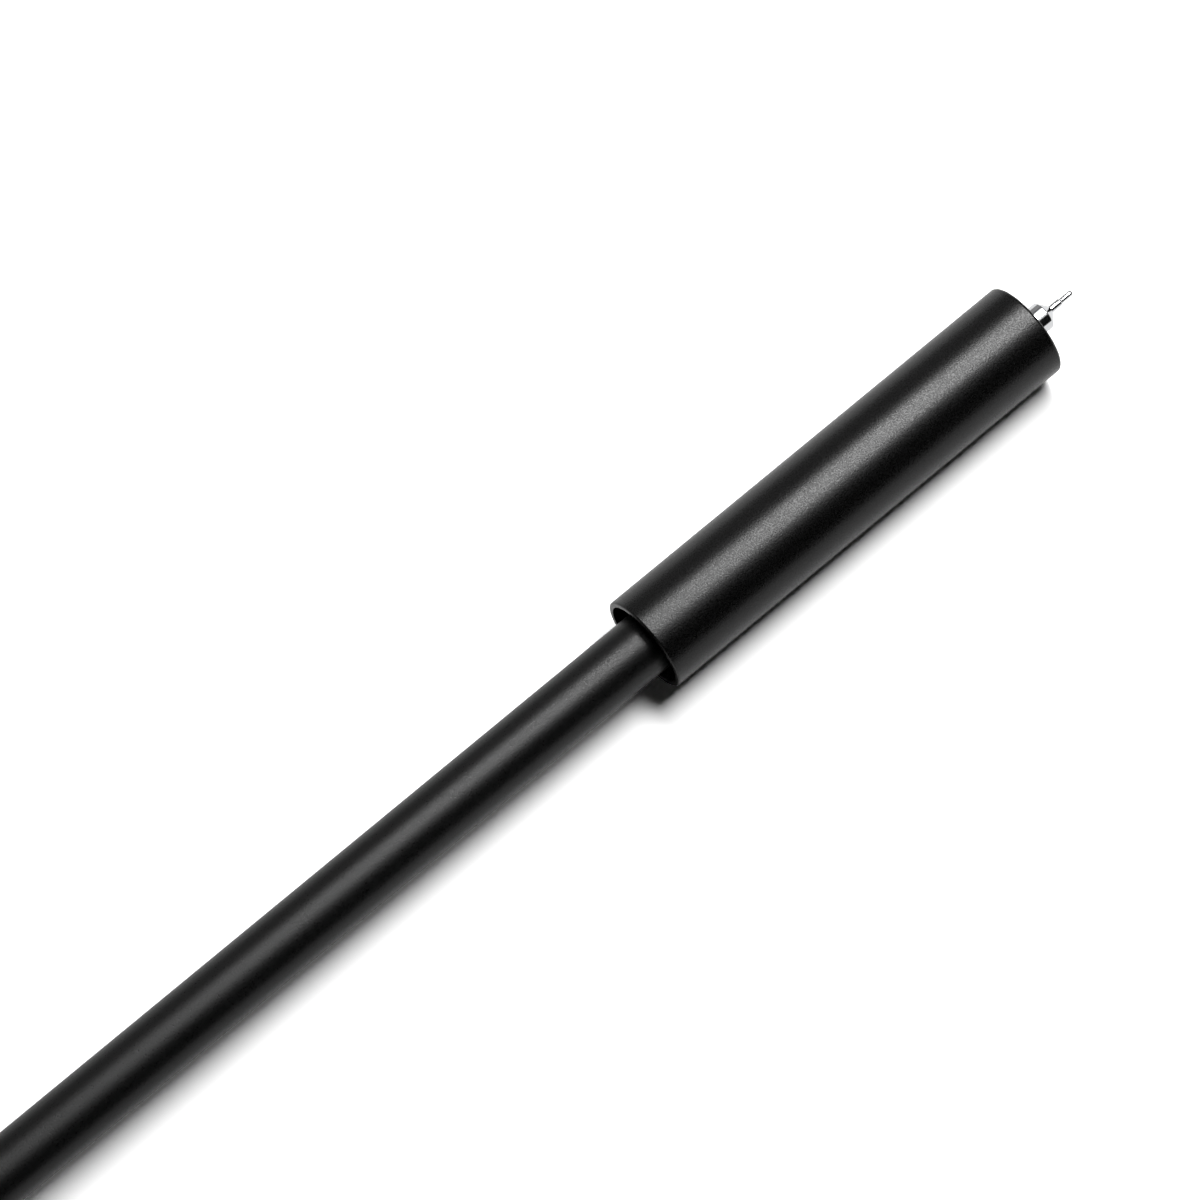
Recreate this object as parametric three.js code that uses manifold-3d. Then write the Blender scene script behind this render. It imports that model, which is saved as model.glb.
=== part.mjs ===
// A slim round pen. A needle point gel refill sits in a long thin barrel, and a wider grip sleeve
// slides on the barrel's front end. The sleeve rides on two brass bushes, each with a rubber ring
// that grips the barrel, so it can be drawn forward to guard the needle or pulled off.
//
// Units are millimetres. The pen lies along X with its writing point towards +X, and +Z is up.
// The origin is under the middle of the pen, on the surface that the sleeve lies on.

import * as THREE from 'three';
import { mergeVertices } from 'three/addons/utils/BufferGeometryUtils.js';
import Module from 'manifold-3d';

const wasm = await Module();
wasm.setup();

// Roundness: the flats of a round piece, one of which faces straight down, and a coil's steps in a turn
const sides = 24;
const coilSteps = 8;

// Writing ball and its socket
const ballDiameter = 0.5;
const ballShows = 0.12;
const ballPlay = 0.02;
const channelDiameter = 0.28;

// Needle, whose wall is given from the mouth outwards
const mouthWall = 0.085;
const noseTaper = 0.01;
const needleStep = 0.1;
const noseLength = 1.64;
const needleLength = 1.31;
const lipLength = 0.16;

// Tip collar
const collarDiameter = 3.2;
const collarProjection = 2.37;
const collarEdge = 0.12;
const coneLength = 0.96;
const coneEndWall = 0.045;
const needleGrip = 2.6;
const springRoomDiameter = 1.8;

// Ball spring
const ballSpringWire = 0.14;
const ballSpringDiameter = 1.36;
const ballSpringCoil = 8;
const ballSpringTurns = 7;

// Refill tube, its fittings and what it holds
const tubeDiameter = 3.9;
const tubeWall = 0.6;
const tubeLength = 103;
const adapterSocket = 3.0;
const adapterWeb = 1.0;
const adapterBore = 1.1;
const adapterSpigot = 5;
const endPlugSpigot = 3;
const endPlugFlange = 0.8;
const ventDiameter = 0.8;
const followerLength = 8;
const airLength = 7;

// Refill cup and refill spring
const cupDepth = 3;
const cupBase = 1.0;
const cupBoss = 2;
const springWire = 0.4;
const springInstalled = 19.1;
const springTurns = 11;

// Barrel, whose bore clears the refill tube all round
const refillPlay = 0.45;
const barrelWall = 1.0;
const barrelMouthEdge = 0.25;
const barrelTailEdge = 0.1;
const frontSectionLength = 10;

// Tail plug
const threadStep = 0.3;
const threadLength = 4;
const threadRunOut = 0.5;
const headThickness = 1.5;
const headEdge = 0.3;
const grooveWidth = 1.1;
const grooveDepth = 0.7;
const grooveShoulder = 0.45;
const plugSpigot = 3;
const coinSlotWidth = 1.0;
const coinSlotDepth = 0.7;

// Grip sleeve, whose bore clears the barrel all round
const sleeveGap = 1.45;
const sleeveWall = 0.65;
const sleeveLength = 53.6;
const sleeveFrontWall = 2.4;
const sleeveFrontEdge = 0.1;
const sleeveRimEdge = 0.15;
const pointHolePlay = 0.15;
const pointHoleEdge = 0.2;

// Sleeve bushes and their rubber rings
const frontBushLength = 14;
const rearBushLength = 7;
const rearBushDepth = 8;
const bushBackWall = 0.5;
const bushEdge = 0.15;
const ringWidth = 1.1;

// Clearances
const pressGap = 0.02;
const ringGap = 0.02;
const turnPlay = 0.06;
const slidePlay = 0.1;
const endGap = 0.05;

// Radii that follow from the dimensions above
const ballRadius = ballDiameter / 2;
const socketRadius = ballRadius + ballPlay;
const channelRadius = channelDiameter / 2;
const ballBehindMouth = ballRadius - ballShows;
const mouthRadius = Math.sqrt((ballRadius + ballPlay / 2) ** 2 - ballBehindMouth ** 2);
const noseEndRadius = mouthRadius + mouthWall;
const noseRadius = noseEndRadius + noseTaper;
const needleRadius = noseRadius + needleStep;
const coneEndRadius = needleRadius + coneEndWall;
const collarRadius = collarDiameter / 2;
const tubeRadius = tubeDiameter / 2;
const inkRadius = tubeRadius - tubeWall;
const boreRadius = tubeRadius + refillPlay;
const barrelRadius = boreRadius + barrelWall;
const guidedRadius = boreRadius - slidePlay;
const threadBoreRadius = boreRadius + threadStep;
const threadRadius = threadBoreRadius - turnPlay;
const grooveRadius = threadRadius - grooveDepth;
const coilRadius = guidedRadius - slidePlay - springWire / 2;
const coilInside = coilRadius * Math.cos(Math.PI / coilSteps) - springWire / 2 - slidePlay;
const sleeveBoreRadius = barrelRadius + sleeveGap;
const sleeveRadius = sleeveBoreRadius + sleeveWall;
const bushRadius = sleeveBoreRadius - pressGap;
const bushBoreRadius = barrelRadius + turnPlay;
const bushGrooveRadius = bushRadius - bushBackWall;
const pointHoleRadius = collarRadius + pointHolePlay;

// Stations along the pen, counted from the sleeve's front face, where X is 0
const coneStart = collarProjection;
const coneEnd = coneStart + coneLength;
const needleEnd = coneEnd + needleLength;
const mouth = needleEnd + noseLength;
const ballCentre = mouth - ballBehindMouth;
const penTip = mouth + ballShows;
const needleTail = coneEnd - needleGrip;
const barrelMouth = -sleeveFrontWall;
const refillStop = barrelMouth - frontSectionLength;
const collarTail = refillStop - adapterSocket;
const tubeFront = collarTail - adapterWeb;
const tubeTail = tubeFront - tubeLength;
const refillTail = tubeTail - endPlugFlange;
const cupTail = refillTail - cupBase;
const plugFace = cupTail - springInstalled;
const plugShank = threadLength + grooveShoulder * 2 + grooveWidth;
const barrelTail = plugFace - plugShank;
const penTail = barrelTail - headThickness;

// Finishes
const blackAnodised = new THREE.MeshStandardMaterial({ color: 0x1b1b1d, roughness: 0.42, metalness: 0.7 });
const polishedSteel = new THREE.MeshStandardMaterial({ color: 0xcfd1d3, roughness: 0.15, metalness: 1 });
const turnedSteel = new THREE.MeshStandardMaterial({ color: 0xb4b6b8, roughness: 0.35, metalness: 1 });
const brass = new THREE.MeshStandardMaterial({ color: 0xb58e4a, roughness: 0.35, metalness: 1 });
const rubber = new THREE.MeshStandardMaterial({ color: 0x1c1c1c, roughness: 0.8, metalness: 0 });
const clearPlastic = new THREE.MeshStandardMaterial({ color: 0xdde2e4, roughness: 0.3, metalness: 0 });
const whitePlastic = new THREE.MeshStandardMaterial({ color: 0xe9e8e2, roughness: 0.45, metalness: 0 });
const blackInk = new THREE.MeshStandardMaterial({ color: 0x101016, roughness: 0.3, metalness: 0 });
const grease = new THREE.MeshStandardMaterial({ color: 0xe6dcae, roughness: 0.3, metalness: 0 });

const pen = new THREE.Group();

// Lays the axis that a turned shape stands on along X, with no rounding of its numbers
const alongX = new THREE.Matrix4().set(0, 1, 0, 0, 0, 0, 1, 0, 1, 0, 0, 0, 0, 0, 0, 1);

// Adds one named piece to the pen
function addPiece(name, geometry, material) {
  const mesh = new THREE.Mesh(geometry, material);
  mesh.name = name;
  pen.add(mesh);
}

// A shape turned about the pen's axis. Its section is a list of [x, radius] points that goes
// forward along the outside and back along the inside, and each radius is measured to the flats.
function turned(section) {
  const cornerShare = 1 / Math.cos(Math.PI / sides);
  const points = section.map(([x, radius]) => new THREE.Vector2(radius * cornerShare, x));
  const geometry = new THREE.LatheGeometry(points, sides, Math.PI / sides);
  return geometry.applyMatrix4(alongX);
}

// A turned shape with a hole through it, whose section closes on itself
function turnedRing(section) {
  return turned([...section, section[0]]);
}

// A rubber ring between two radii, with a rounded section
function rubberRing(centre, innerRadius, outerRadius, width) {
  const steps = 10;
  const middle = (innerRadius + outerRadius) / 2;
  const section = [];
  for (let step = 0; step < steps; step += 1) {
    const angle = (-2 * Math.PI * step) / steps;
    const x = centre + (width / 2) * Math.cos(angle + Math.PI / 2);
    const radius = middle + ((outerRadius - innerRadius) / 2) * Math.sin(angle + Math.PI / 2);
    section.push([x, radius]);
  }
  return turnedRing(section);
}

// The middle line of a coil about the pen's axis, which may end in a straight leg on the axis
class CoilLine extends THREE.Curve {
  constructor(start, end, radius, turns, legEnd = end) {
    super();
    this.start = start;
    this.end = end;
    this.radius = radius;
    this.turns = turns;
    this.legEnd = legEnd;
    const coilRun = 2 * Math.PI * radius * turns;
    this.coilShare = coilRun / (coilRun + legEnd - end);
  }

  getPoint(share, target = new THREE.Vector3()) {
    const along = Math.min(share / this.coilShare, 1);
    const turn = along * this.turns;
    const hasLeg = this.legEnd > this.end;
    const inward = hasLeg ? Math.min(this.turns - turn, 1) : 1;
    const angle = 2 * Math.PI * turn;
    const leg = hasLeg ? Math.max(share - this.coilShare, 0) / (1 - this.coilShare) : 0;
    const x = this.start + (this.end - this.start) * along + (this.legEnd - this.end) * leg;
    const radius = this.radius * inward;
    return target.set(x, radius * Math.sin(angle), radius * Math.cos(angle));
  }
}

// A round wire along a line, with 5 sides
function wire(line, diameter, steps) {
  const section = new THREE.Shape();
  const corners = 5;
  for (let corner = 0; corner < corners; corner += 1) {
    const angle = (2 * Math.PI * corner) / corners;
    const place = [(diameter / 2) * Math.cos(angle), (diameter / 2) * Math.sin(angle)];
    if (corner === 0) section.moveTo(...place);
    else section.lineTo(...place);
  }
  return new THREE.ExtrudeGeometry(section, { steps, extrudePath: line, bevelEnabled: false });
}

// A closed mesh made into a solid that can be cut
function solidOf(geometry) {
  const bare = geometry.clone();
  bare.deleteAttribute('normal');
  bare.deleteAttribute('uv');
  const merged = mergeVertices(bare, 1e-4);
  const vertProperties = new Float32Array(merged.attributes.position.array);
  const corners = Array.from(merged.index.array);
  const triVerts = [];
  for (let first = 0; first < corners.length; first += 3) {
    const [a, b, c] = corners.slice(first, first + 3);
    if (a !== b && b !== c && c !== a) triVerts.push(a, b, c);
  }
  const mesh = new wasm.Mesh({ numProp: 3, vertProperties, triVerts: new Uint32Array(triVerts) });
  return new wasm.Manifold(mesh);
}

// One shape with another cut out of it
function cut(geometry, tool) {
  const mesh = solidOf(geometry).subtract(solidOf(tool)).getMesh();
  const result = new THREE.BufferGeometry();
  result.setAttribute('position', new THREE.BufferAttribute(mesh.vertProperties, 3));
  result.setIndex(new THREE.BufferAttribute(mesh.triVerts, 1));
  result.computeVertexNormals();
  return result;
}

// Barrel: a long tube, bored for the refill and opened out at the tail for the plug's thread
function barrel() {
  const threadEnd = plugFace + threadRunOut;
  return turnedRing([
    [barrelTail, threadBoreRadius],
    [barrelTail, barrelRadius - barrelTailEdge],
    [barrelTail + barrelTailEdge, barrelRadius],
    [barrelMouth - barrelMouthEdge, barrelRadius],
    [barrelMouth, barrelRadius - barrelMouthEdge],
    [barrelMouth, boreRadius],
    [threadEnd, boreRadius],
    [threadEnd, threadBoreRadius],
  ]);
}

// Front section: guides the tip collar, and its rear face stops the refill
function frontSection() {
  const guideRadius = collarRadius + turnPlay;
  const leadIn = (boreRadius - pressGap - guideRadius) / 2;
  return turnedRing([
    [refillStop, guideRadius + leadIn],
    [refillStop, boreRadius - pressGap],
    [barrelMouth, boreRadius - pressGap],
    [barrelMouth, guideRadius],
    [refillStop + leadIn, guideRadius],
  ]);
}

// Tip collar: a round collar with a cone that grips the needle, hollow behind it for the ball spring
function tipCollar() {
  return turnedRing([
    [collarTail, springRoomDiameter / 2],
    [collarTail, collarRadius - collarEdge],
    [collarTail + collarEdge, collarRadius],
    [coneStart, collarRadius],
    [coneEnd, coneEndRadius],
    [coneEnd, needleRadius + pressGap],
    [needleTail, needleRadius + pressGap],
    [needleTail, springRoomDiameter / 2],
  ]);
}

// Needle tube: a stepped steel tube whose mouth is closed in round the ball
function needleTube() {
  const seatReach = (ballRadius + ballPlay / 2) * Math.SQRT2;
  const lipEdge = mouthWall / 2;
  return turnedRing([
    [needleTail, channelRadius],
    [needleTail, needleRadius],
    [needleEnd, needleRadius],
    [needleEnd + needleStep, noseRadius],
    [mouth - lipLength, noseEndRadius],
    [mouth, mouthRadius + lipEdge],
    [mouth, mouthRadius],
    [ballCentre + ballPlay, socketRadius],
    [ballCentre - seatReach + socketRadius, socketRadius],
    [ballCentre - seatReach + channelRadius, channelRadius],
  ]);
}

// Writing ball: a half circle turned about the pen's axis
function writingBall() {
  const steps = 12;
  const section = [];
  for (let step = 0; step <= steps; step += 1) {
    const angle = (Math.PI * step) / steps;
    const radius = step % steps === 0 ? 0 : ballRadius * Math.sin(angle);
    section.push([ballCentre - ballRadius * Math.cos(angle), radius]);
  }
  return turned(section);
}

// Ball spring: a fine coil in the collar, whose straight leg reaches the ball through the needle
function ballSpring() {
  const start = collarTail + endGap + ballSpringWire / 2;
  const coilEnd = start + ballSpringCoil;
  const legEnd = ballCentre - ballRadius - endGap;
  const line = new CoilLine(start, coilEnd, ballSpringDiameter / 2, ballSpringTurns, legEnd);
  return wire(line, ballSpringWire, Math.ceil((coilSteps * ballSpringTurns) / line.coilShare));
}

// Tip adapter: holds the collar's tail in its socket and plugs into the ink tube
function tipAdapter() {
  const socket = collarRadius + pressGap;
  const spigotTail = tubeFront - adapterSpigot;
  return turnedRing([
    [spigotTail, adapterBore / 2],
    [spigotTail, inkRadius - pressGap],
    [tubeFront, inkRadius - pressGap],
    [tubeFront, guidedRadius],
    [refillStop, guidedRadius],
    [refillStop, socket],
    [collarTail, socket],
    [collarTail, adapterBore / 2],
  ]);
}

// Refill tube: a plain tube
function refillTube() {
  return turnedRing([
    [tubeTail, inkRadius],
    [tubeTail, tubeRadius],
    [tubeFront, tubeRadius],
    [tubeFront, inkRadius],
  ]);
}

// What fills the ink tube between two stations
function filling(tail, front) {
  const radius = inkRadius - pressGap;
  return turned([
    [tail, 0],
    [tail, radius],
    [front, radius],
    [front, 0],
  ]);
}

// Refill end plug: a vented plug with a flange against the tube's tail
function refillEndPlug() {
  return turnedRing([
    [refillTail, ventDiameter / 2],
    [refillTail, tubeRadius],
    [tubeTail, tubeRadius],
    [tubeTail, inkRadius - pressGap],
    [tubeTail + endPlugSpigot, inkRadius - pressGap],
    [tubeTail + endPlugSpigot, ventDiameter / 2],
  ]);
}

// Refill cup: centres the refill's tail in the barrel, with a boss inside the spring
function refillCup() {
  const seat = tubeRadius + pressGap;
  return turnedRing([
    [cupTail - cupBoss, ventDiameter / 2],
    [cupTail - cupBoss, coilInside],
    [cupTail, coilInside],
    [cupTail, guidedRadius],
    [refillTail + cupDepth, guidedRadius],
    [refillTail + cupDepth, seat],
    [refillTail, seat],
    [refillTail, ventDiameter / 2],
  ]);
}

// Refill spring: an open coil between the tail plug and the refill cup
function refillSpring() {
  const start = plugFace + springWire / 2 + endGap;
  const end = cupTail - springWire / 2 - endGap;
  return wire(new CoilLine(start, end, coilRadius, springTurns), springWire, coilSteps * springTurns);
}

// Tail plug: a head flush with the barrel, a shank with a groove for the ring, and a spring spigot
function tailPlug() {
  const grooveTail = barrelTail + grooveShoulder;
  const grooveFront = grooveTail + grooveWidth;
  const body = turned([
    [penTail, 0],
    [penTail, barrelRadius - headEdge],
    [penTail + headEdge, barrelRadius],
    [barrelTail, barrelRadius],
    [barrelTail, threadRadius],
    [grooveTail, threadRadius],
    [grooveTail, grooveRadius],
    [grooveFront, grooveRadius],
    [grooveFront, threadRadius],
    [plugFace, threadRadius],
    [plugFace, coilInside],
    [plugFace + plugSpigot, coilInside],
    [plugFace + plugSpigot, 0],
  ]);
  const slot = new THREE.BoxGeometry(2 * coinSlotDepth, 4 * barrelRadius, coinSlotWidth);
  slot.translate(penTail, 0, 0);
  return cut(body, slot);
}

// Tail ring: lies in the plug's groove and grips the barrel's bore
function tailRing() {
  const centre = barrelTail + grooveShoulder + grooveWidth / 2;
  const width = grooveWidth - 2 * endGap;
  return rubberRing(centre, grooveRadius + turnPlay, threadBoreRadius - ringGap, width);
}

// Grip sleeve: a thin tube whose front wall has a hole for the point
function gripSleeve() {
  const rim = -sleeveLength;
  return turnedRing([
    [rim, sleeveBoreRadius + sleeveRimEdge],
    [rim, sleeveRadius - sleeveRimEdge],
    [rim + sleeveRimEdge, sleeveRadius],
    [-sleeveFrontEdge, sleeveRadius],
    [0, sleeveRadius - sleeveFrontEdge],
    [0, pointHoleRadius + pointHoleEdge],
    [-pointHoleEdge, pointHoleRadius],
    [barrelMouth, pointHoleRadius],
    [barrelMouth, sleeveBoreRadius],
    [rim + sleeveRimEdge, sleeveBoreRadius],
  ]);
}

// Sleeve bush: a brass guide with a groove for its ring half way along
function sleeveBush(tail, length) {
  const front = tail + length;
  const grooveTail = tail + (length - ringWidth) / 2 - endGap;
  const grooveFront = tail + (length + ringWidth) / 2 + endGap;
  return turnedRing([
    [tail, bushBoreRadius + bushEdge],
    [tail, bushRadius],
    [front, bushRadius],
    [front, bushBoreRadius + bushEdge],
    [front - bushEdge, bushBoreRadius],
    [grooveFront, bushBoreRadius],
    [grooveFront, bushGrooveRadius],
    [grooveTail, bushGrooveRadius],
    [grooveTail, bushBoreRadius],
    [tail + bushEdge, bushBoreRadius],
  ]);
}

// Bush ring: lies in the bush's groove and grips the barrel
function bushRing(bushTail, bushLength) {
  const centre = bushTail + bushLength / 2;
  return rubberRing(centre, barrelRadius + ringGap, bushGrooveRadius - turnPlay, ringWidth);
}

const frontBushTail = barrelMouth - frontBushLength;
const rearBushTail = -sleeveLength + rearBushDepth;
const fillFront = tubeFront - adapterSpigot - endGap;
const followerTail = tubeTail + endPlugSpigot + airLength;

addPiece('barrel', barrel(), blackAnodised);
addPiece('front_section', frontSection(), turnedSteel);
addPiece('tail_plug', tailPlug(), blackAnodised);
addPiece('tail_o_ring', tailRing(), rubber);

addPiece('grip_sleeve', gripSleeve(), blackAnodised);
addPiece('sleeve_bush_front', sleeveBush(frontBushTail, frontBushLength), brass);
addPiece('sleeve_bush_rear', sleeveBush(rearBushTail, rearBushLength), brass);
addPiece('sleeve_o_ring_front', bushRing(frontBushTail, frontBushLength), rubber);
addPiece('sleeve_o_ring_rear', bushRing(rearBushTail, rearBushLength), rubber);

addPiece('tip_collar', tipCollar(), polishedSteel);
addPiece('needle_tube', needleTube(), polishedSteel);
addPiece('writing_ball', writingBall(), polishedSteel);
addPiece('ball_spring', ballSpring(), turnedSteel);
addPiece('tip_adapter', tipAdapter(), whitePlastic);
addPiece('refill_tube', refillTube(), clearPlastic);
addPiece('ink_column', filling(followerTail + followerLength + endGap, fillFront), blackInk);
addPiece('follower_grease', filling(followerTail, followerTail + followerLength), grease);
addPiece('refill_end_plug', refillEndPlug(), whitePlastic);
addPiece('refill_cup', refillCup(), whitePlastic);
addPiece('refill_spring', refillSpring(), turnedSteel);

// The pen lies on its sleeve, with the origin below the middle of its length
pen.position.set(-(penTip + penTail) / 2, 0, sleeveRadius);

export default pen;
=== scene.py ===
"""Looks of a slim needle-point pen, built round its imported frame.

The pen lies along X on its wide grip sleeve, with its point towards +X. Every turned piece is spun
from a short section about the pen's axis, and takes its ends and its radius from the frame's nodes.
"""

import logging
import math
from dataclasses import dataclass
from enum import Enum
from typing import Any

import bmesh
import bpy
from mathutils import Matrix, Vector


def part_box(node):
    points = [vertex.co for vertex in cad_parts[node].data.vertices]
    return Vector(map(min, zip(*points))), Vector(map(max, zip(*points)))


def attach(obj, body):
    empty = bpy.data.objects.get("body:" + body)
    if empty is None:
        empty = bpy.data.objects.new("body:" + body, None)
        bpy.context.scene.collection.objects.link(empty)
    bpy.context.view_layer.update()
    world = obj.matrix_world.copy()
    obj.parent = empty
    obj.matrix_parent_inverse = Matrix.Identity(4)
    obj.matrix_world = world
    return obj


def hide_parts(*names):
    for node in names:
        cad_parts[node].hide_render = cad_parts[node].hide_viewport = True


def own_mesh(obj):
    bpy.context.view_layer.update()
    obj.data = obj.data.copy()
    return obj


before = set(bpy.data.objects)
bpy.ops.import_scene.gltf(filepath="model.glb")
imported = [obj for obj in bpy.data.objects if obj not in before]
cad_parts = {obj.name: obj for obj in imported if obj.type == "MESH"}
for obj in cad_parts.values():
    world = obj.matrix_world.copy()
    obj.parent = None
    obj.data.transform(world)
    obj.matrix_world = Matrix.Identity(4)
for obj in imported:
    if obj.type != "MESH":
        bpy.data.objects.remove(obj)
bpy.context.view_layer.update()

MM = 0.001
SHARP_ANGLE = math.radians(32)
# Nearly all of a noise texture lies between these two values.
NOISE_LOW, NOISE_HIGH = 0.3, 0.7

logging.basicConfig(level=logging.INFO, format="%(message)s")
log = logging.getLogger("pen")


class Body(Enum):
    """The moving bodies of the pen, by their names in the frame."""

    BARREL = "barrel_body"
    SLEEVE_RINGS = "sleeve_rings"
    SLEEVE = "sleeve_body"
    REFILL = "refill_body"
    BALL = "ball_body"
    TAIL_RING = "tail_ring"
    TAIL_PLUG = "tail_plug_body"


class Slot(Enum):
    """The record's material slots."""

    BLACK = "black_anodised"
    POLISHED = "polished_steel"
    STEEL = "turned_steel"
    BRASS = "turned_brass"
    RUBBER = "black_rubber"
    CLEAR = "clear_plastic"
    WHITE = "white_plastic"
    INK = "black_ink"
    GREASE = "clear_grease"


class Flats(Enum):
    """How many flats a spun piece has, by how large it looks."""

    LARGE = 192
    MEDIUM = 128
    SMALL = 64


def linear(hex_colour: str) -> tuple[float, float, float, float]:
    """Turns an sRGB colour into the linear values that the shaders use.

    Args:
        hex_colour: six hex digits, such as "1C1C1E".

    Returns:
        The linear red, green, blue and an alpha of 1.
    """
    parts = []
    for first in (0, 2, 4):
        share = int(hex_colour[first : first + 2], 16) / 255
        parts.append(share / 12.92 if share <= 0.04045 else ((share + 0.055) / 1.055) ** 2.4)
    return (*parts, 1.0)


def per_mm(size_mm: float) -> float:
    """The scale, on Object coordinates, of a pattern with features that many mm across."""
    return 1 / (size_mm * MM)


def add_node(
    tree: bpy.types.NodeTree, kind: str, inputs: dict[str, Any] | None = None, **settings: Any
) -> bpy.types.Node:
    """Adds a node to a shader with its settings and its inputs.

    Args:
        tree: the shader's node tree.
        kind: the node's type name in bpy.
        inputs: input names or numbers, each with a constant or with the socket that feeds it.
        settings: the node's own properties.

    Returns:
        The new node.
    """
    node = tree.nodes.new(kind)
    for name, value in settings.items():
        setattr(node, name, value)
    for name, value in (inputs or {}).items():
        if isinstance(name, int):
            socket = node.inputs[name]
        else:
            socket = next(s for s in node.inputs if s.name == name and s.enabled)
        if isinstance(value, bpy.types.NodeSocket):
            tree.links.new(value, socket)
        else:
            socket.default_value = value
    return node


def colour_result(mix: bpy.types.Node) -> bpy.types.NodeSocket:
    """The colour that a colour mix gives, out of its outputs of several types."""
    return next(s for s in mix.outputs if s.enabled)


def looked_at(tree: bpy.types.NodeTree) -> bpy.types.NodeSocket:
    """Tells the rays that look at a thing from those that light it.

    Args:
        tree: the shader's node tree.

    Returns:
        A value of 1 for a camera, glossy or transmission ray, or else 0.
    """
    rays = add_node(tree, "ShaderNodeLightPath").outputs
    seen = rays["Is Camera Ray"]
    for kind in ("Is Glossy Ray", "Is Transmission Ray"):
        pair = {0: seen, 1: rays[kind]}
        seen = add_node(tree, "ShaderNodeMath", pair, operation="MAXIMUM").outputs["Value"]
    return seen


def new_shader(name: str) -> tuple[bpy.types.Material, bpy.types.NodeTree]:
    """Makes an empty node material.

    Args:
        name: the material's name.

    Returns:
        The material and its node tree.
    """
    material = bpy.data.materials.new(name)
    material.use_nodes = True
    material.node_tree.nodes.clear()
    return material, material.node_tree


def finish_shader(tree: bpy.types.NodeTree, surface: bpy.types.NodeSocket) -> None:
    """Links a surface shader to the material's output."""
    add_node(tree, "ShaderNodeOutputMaterial", {"Surface": surface})


@dataclass(frozen=True)
class BlastedAnodised:
    """Black anodised aluminium, bead blasted before it was dyed.

    Its skin is aluminium oxide, which is glassy and clear, over pores that hold a black dye, so it
    reflects as a dielectric does and has next to no colour of its own. The pores thin it, so its
    index is under that of solid oxide. The blasting leaves fine round pits, so a highlight is broad
    and soft and breaks into a sparkle. The real pits are about 0.05 mm across, and they are drawn
    three times as coarse so that they show.
    """

    name: str
    colour: str = "020202"
    dust_colour: str = "060606"
    ior: float = 1.36
    roughness: float = 0.31
    roughness_spread: float = 0.2
    pit_mm: float = 0.15
    pit_depth_mm: float = 0.013
    cloud_mm: float = 7.0

    def material(self) -> bpy.types.Material:
        """Builds the shader: a black skin with a noise of pits in its bump and its roughness.

        Returns:
            The material.
        """
        material, tree = new_shader(self.name)
        place = add_node(tree, "ShaderNodeTexCoord").outputs["Object"]
        pits = add_node(
            tree,
            "ShaderNodeTexNoise",
            {"Vector": place, "Scale": per_mm(self.pit_mm), "Detail": 1.0, "Roughness": 0.6},
        ).outputs["Fac"]
        cloud = add_node(
            tree,
            "ShaderNodeTexNoise",
            {"Vector": place, "Scale": per_mm(self.cloud_mm), "Detail": 3.0, "Roughness": 0.5},
        ).outputs["Fac"]
        rough = add_node(
            tree,
            "ShaderNodeMapRange",
            {
                "Value": pits,
                "From Min": NOISE_LOW,
                "From Max": NOISE_HIGH,
                "To Min": self.roughness - self.roughness_spread / 2,
                "To Max": self.roughness + self.roughness_spread / 2,
            },
        ).outputs["Result"]
        dye = add_node(
            tree,
            "ShaderNodeMix",
            {"Factor": cloud, "A": linear(self.colour), "B": linear(self.dust_colour)},
            data_type="RGBA",
        )
        bump = add_node(
            tree,
            "ShaderNodeBump",
            {"Height": pits, "Strength": 1.0, "Distance": self.pit_depth_mm * MM},
        ).outputs["Normal"]
        surface = add_node(
            tree,
            "ShaderNodeBsdfPrincipled",
            {
                "Base Color": colour_result(dye),
                "Roughness": rough,
                "IOR": self.ior,
                "Normal": bump,
            },
        )
        finish_shader(tree, surface.outputs["BSDF"])
        return material


@dataclass(frozen=True)
class TurnedMetal:
    """A bare metal turned on a lathe.

    The tool leaves fine rings round the pen's axis, which draw a highlight out into short
    streaks, and handling dulls it a little in patches.
    """

    name: str
    colour: str
    dull_colour: str
    roughness: float
    ring_mm: float = 0.12
    ring_depth_mm: float = 0.0006
    ring_squash: float = 0.02
    patch_mm: float = 4.0

    def material(self) -> bpy.types.Material:
        """Builds the shader: a metal whose bump is a run of bands along X.

        Returns:
            The material.
        """
        material, tree = new_shader(self.name)
        place = add_node(tree, "ShaderNodeTexCoord").outputs["Object"]
        squash = (1.0, self.ring_squash, self.ring_squash)
        stretched = add_node(
            tree, "ShaderNodeMapping", {"Vector": place, "Scale": squash}
        ).outputs["Vector"]
        rings = add_node(
            tree,
            "ShaderNodeTexNoise",
            {"Vector": stretched, "Scale": per_mm(self.ring_mm), "Detail": 2.0, "Roughness": 0.5},
        ).outputs["Fac"]
        bump = add_node(
            tree,
            "ShaderNodeBump",
            {"Height": rings, "Strength": 1.0, "Distance": self.ring_depth_mm * MM},
        ).outputs["Normal"]
        patches = add_node(
            tree,
            "ShaderNodeTexNoise",
            {"Vector": place, "Scale": per_mm(self.patch_mm), "Detail": 4.0, "Roughness": 0.6},
        ).outputs["Fac"]
        metal = add_node(
            tree,
            "ShaderNodeMix",
            {"Factor": patches, "A": linear(self.colour), "B": linear(self.dull_colour)},
            data_type="RGBA",
        )
        surface = add_node(
            tree,
            "ShaderNodeBsdfPrincipled",
            {
                "Base Color": colour_result(metal),
                "Metallic": 1.0,
                "Roughness": self.roughness,
                "Normal": bump,
            },
        )
        finish_shader(tree, surface.outputs["BSDF"])
        return material


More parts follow.
